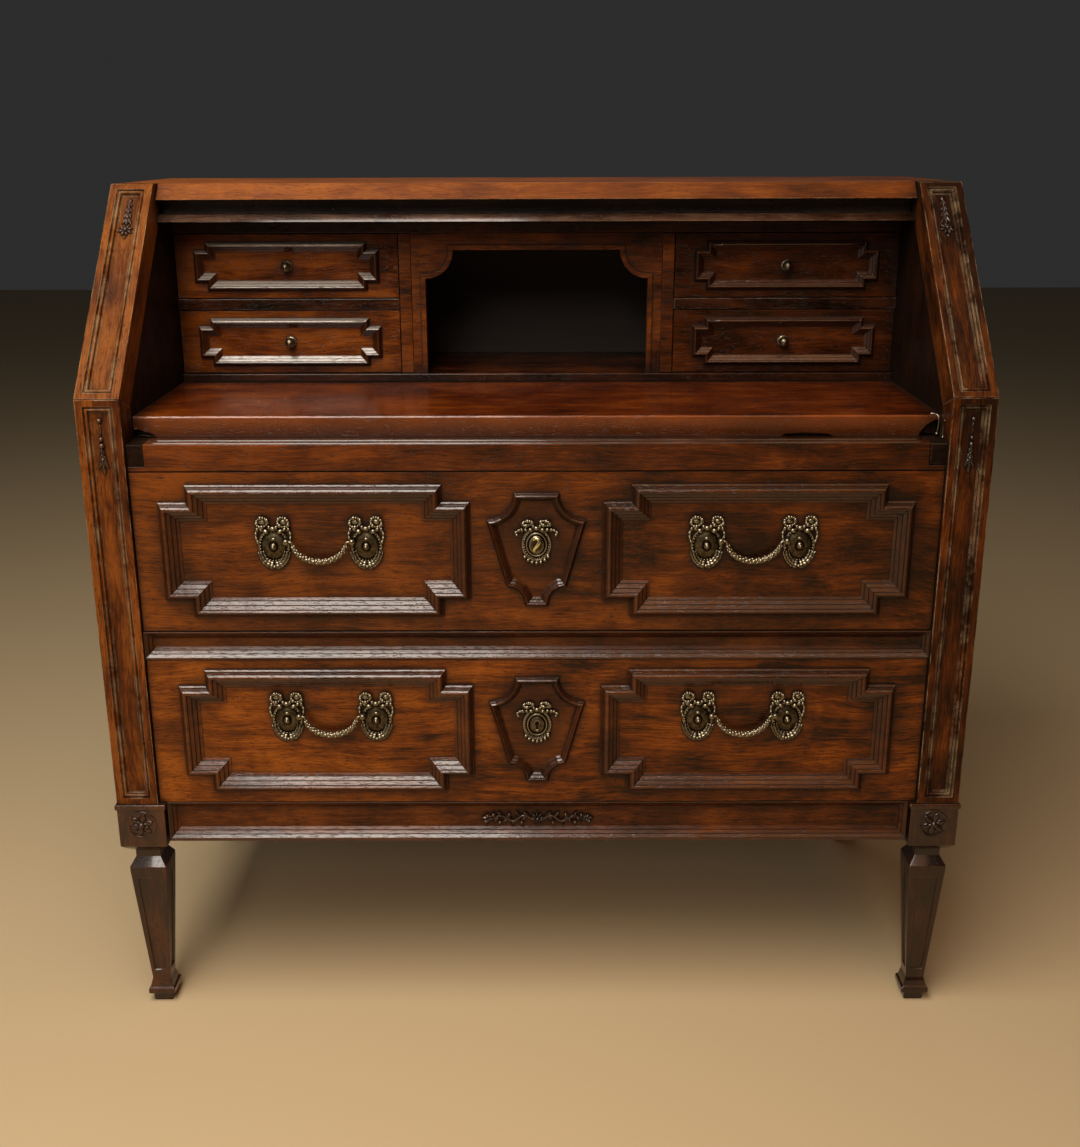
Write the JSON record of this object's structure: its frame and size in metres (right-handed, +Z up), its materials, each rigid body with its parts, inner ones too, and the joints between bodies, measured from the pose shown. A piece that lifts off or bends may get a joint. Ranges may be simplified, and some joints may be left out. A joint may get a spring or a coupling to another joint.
{
  "type": "slant-front bureau",
  "caption": "Slant-sided walnut bureau on tapered legs: long drawers with notched mouldings and swag handles, a writing bed, small drawers and an arched pigeonhole.",
  "frame": {"origin": "middle of the overall box on the floor", "axes": "+X to the right seen from the front, +Y towards the back, +Z up; the front faces -Y"},
  "size_m": [1.066, 0.508, 1.0449],
  "materials": {
    "walnut": "French-polished, darkened with age",
    "lining_wood": "unpolished lining wood",
    "brass": "cast, dulled with age"
  },
  "bodies": {
    "case": {"front_leg_left": "walnut", "rear_leg_left": "walnut", "front_post_left": "walnut", "slope_post_left": "walnut", "side_panel_left": "walnut", "inner_cheek_left": "walnut", "partition_left": "walnut", "drawer_shelf_left": "walnut", "front_leg_right": "walnut", "rear_leg_right": "walnut", "front_post_right": "walnut", "slope_post_right": "walnut", "side_panel_right": "walnut", "inner_cheek_right": "walnut", "partition_right": "walnut", "drawer_shelf_right": "walnut", "top_board": "walnut", "back_panel": "lining_wood", "bottom_board": "lining_wood", "dust_board": "lining_wood", "apron_rail": "walnut", "divider_rail": "walnut", "bed_rail": "walnut", "writing_bed": "walnut", "flap_stop_rail": "walnut", "interior_base": "walnut", "interior_ceiling": "walnut", "arch_frame": "walnut"},
    "lower_drawer": {"lower_drawer_front": "walnut", "lower_drawer_tray": "lining_wood", "lower_key_plate": "brass", "lower_left_rosette_left": "brass", "lower_left_rosette_right": "brass", "lower_right_rosette_left": "brass", "lower_right_rosette_right": "brass"},
    "lower_left_bail": {"lower_left_bail": "brass"},
    "lower_right_bail": {"lower_right_bail": "brass"},
    "upper_drawer": {"upper_drawer_front": "walnut", "upper_drawer_tray": "lining_wood", "upper_key_plate": "brass", "upper_left_rosette_left": "brass", "upper_left_rosette_right": "brass", "upper_right_rosette_left": "brass", "upper_right_rosette_right": "brass"},
    "upper_left_bail": {"upper_left_bail": "brass"},
    "upper_right_bail": {"upper_right_bail": "brass"},
    "small_lower_left_drawer": {"small_lower_left_front": "walnut", "small_lower_left_tray": "lining_wood", "small_lower_left_knob": "brass"},
    "small_upper_left_drawer": {"small_upper_left_front": "walnut", "small_upper_left_tray": "lining_wood", "small_upper_left_knob": "brass"},
    "loper_left": {"loper_left": "walnut"},
    "small_lower_right_drawer": {"small_lower_right_front": "walnut", "small_lower_right_tray": "lining_wood", "small_lower_right_knob": "brass"},
    "small_upper_right_drawer": {"small_upper_right_front": "walnut", "small_upper_right_tray": "lining_wood", "small_upper_right_knob": "brass"},
    "loper_right": {"loper_right": "walnut"}
  },
  "joints": [
    {"name": "lower_drawer_slide", "type": "slide", "parent": "case", "child": "lower_drawer", "axis": [0, -1, 0], "range_m": [0, 0.35]},
    {"name": "lower_left_bail_swing", "type": "hinge", "parent": "lower_drawer", "child": "lower_left_bail", "pos_m": [-0.2536, -0.2485, 0.4209], "axis": [-1, 0, 0], "range_deg": [-15, 85]},
    {"name": "lower_right_bail_swing", "type": "hinge", "parent": "lower_drawer", "child": "lower_right_bail", "pos_m": [0.2536, -0.2485, 0.4209], "axis": [-1, 0, 0], "range_deg": [-15, 85]},
    {"name": "upper_drawer_slide", "type": "slide", "parent": "case", "child": "upper_drawer", "axis": [0, -1, 0], "range_m": [0, 0.35]},
    {"name": "upper_left_bail_swing", "type": "hinge", "parent": "upper_drawer", "child": "upper_left_bail", "pos_m": [-0.2566, -0.2485, 0.64455], "axis": [-1, 0, 0], "range_deg": [-15, 85]},
    {"name": "upper_right_bail_swing", "type": "hinge", "parent": "upper_drawer", "child": "upper_right_bail", "pos_m": [0.2566, -0.2485, 0.64455], "axis": [-1, 0, 0], "range_deg": [-15, 85]},
    {"name": "small_lower_left_slide", "type": "slide", "parent": "case", "child": "small_lower_left_drawer", "axis": [0, -1, 0], "range_m": [0, 0.14]},
    {"name": "small_upper_left_slide", "type": "slide", "parent": "case", "child": "small_upper_left_drawer", "axis": [0, -1, 0], "range_m": [0, 0.14]},
    {"name": "loper_left_slide", "type": "slide", "parent": "case", "child": "loper_left", "axis": [0, -1, 0], "range_m": [0, 0.25]},
    {"name": "small_lower_right_slide", "type": "slide", "parent": "case", "child": "small_lower_right_drawer", "axis": [0, -1, 0], "range_m": [0, 0.14]},
    {"name": "small_upper_right_slide", "type": "slide", "parent": "case", "child": "small_upper_right_drawer", "axis": [0, -1, 0], "range_m": [0, 0.14]},
    {"name": "loper_right_slide", "type": "slide", "parent": "case", "child": "loper_right", "axis": [0, -1, 0], "range_m": [0, 0.25]}
  ]
}
